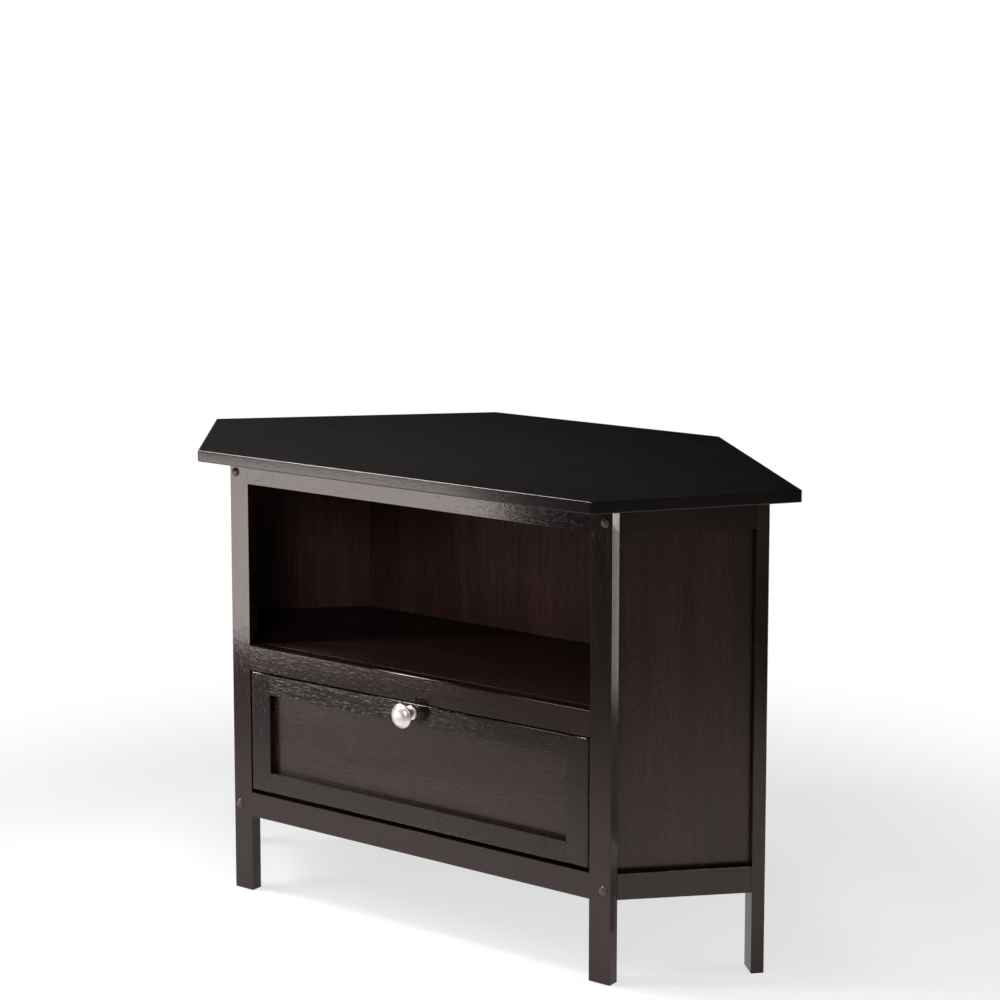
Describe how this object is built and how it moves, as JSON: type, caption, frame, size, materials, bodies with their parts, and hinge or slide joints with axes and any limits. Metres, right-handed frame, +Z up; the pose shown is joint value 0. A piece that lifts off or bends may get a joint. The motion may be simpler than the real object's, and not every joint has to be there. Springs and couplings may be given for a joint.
{
  "type": "corner tv cabinet",
  "caption": "Low corner cabinet in dark wood: wide overhanging top, slanted sides on slim legs, open compartment with cable slot, and a drop-front door with a round knob.",
  "frame": {"origin": "on the floor, under the middle of the top's bounding box", "axes": "+Z up, -Y towards the room (the door's side), +Y into the corner, +X to the right as seen from the front"},
  "size_m": [0.8542, 0.45, 0.55],
  "materials": {
    "top_wood": "satin, near-black stain",
    "frame_wood": "satin, dark brown stain",
    "panel_wood": "satin, red-brown stain",
    "door_wood": "satin, dark brown stain",
    "inner_wood": "dull stain",
    "block_wood": "unfinished softwood",
    "cover_plastic": "satin",
    "nickel": "satin nickel",
    "steel": "zinc plated",
    "catch_plastic": "matte",
    "magnet": "ferrite",
    "nylon": "matte"
  },
  "bodies": {
    "cabinet": {"top_panel": "top_wood", "top_screw_left": "steel", "top_screw_right": "steel", "catch_screw": "steel", "frame_screw_upper_left": "steel", "frame_screw_upper_right": "steel", "frame_screw_lower_left": "steel", "frame_screw_lower_right": "steel", "front_leg_left": "frame_wood", "front_leg_right": "frame_wood", "side_leg_left": "frame_wood", "side_leg_right": "frame_wood", "rear_leg_left": "frame_wood", "rear_leg_right": "frame_wood", "front_upper_rail": "frame_wood", "front_middle_rail": "frame_wood", "front_lower_rail": "frame_wood", "rear_upper_rail": "frame_wood", "rear_lower_rail": "frame_wood", "side_upper_rail_left": "frame_wood", "side_upper_rail_right": "frame_wood", "side_lower_rail_left": "frame_wood", "side_lower_rail_right": "frame_wood", "wall_upper_rail_left": "frame_wood", "wall_upper_rail_right": "frame_wood", "wall_lower_rail_left": "frame_wood", "wall_lower_rail_right": "frame_wood", "side_panel_left": "panel_wood", "side_panel_right": "panel_wood", "wall_panel_left": "inner_wood", "wall_panel_right": "inner_wood", "back_panel": "inner_wood", "shelf": "inner_wood", "cabinet_floor": "inner_wood", "shelf_cleat_front": "block_wood", "shelf_cleat_rear": "block_wood", "floor_cleat_rear": "block_wood", "corner_block_upper_left": "block_wood", "corner_block_upper_right": "block_wood", "corner_block_lower_left": "block_wood", "corner_block_lower_right": "block_wood", "screw_cover_upper_left": "cover_plastic", "screw_cover_upper_right": "cover_plastic", "screw_cover_lower_left": "cover_plastic", "screw_cover_lower_right": "cover_plastic", "pivot_bush_left": "nylon", "pivot_bush_right": "nylon", "catch_housing": "catch_plastic", "catch_magnet": "magnet"},
    "door": {"door_panel": "door_wood", "door_top_rail": "door_wood", "door_bottom_rail": "door_wood", "door_stile_left": "door_wood", "door_stile_right": "door_wood", "door_knob": "nickel", "knob_screw": "steel", "pivot_pin_left": "steel", "pivot_pin_right": "steel", "strike_plate": "steel", "strike_screw": "steel"}
  },
  "joints": [
    {"name": "door_hinge", "type": "hinge", "parent": "cabinet", "child": "door", "pos_m": [0, -0.1665, 0.13551], "axis": [1, 0, 0], "range_deg": [0, 90]}
  ]
}
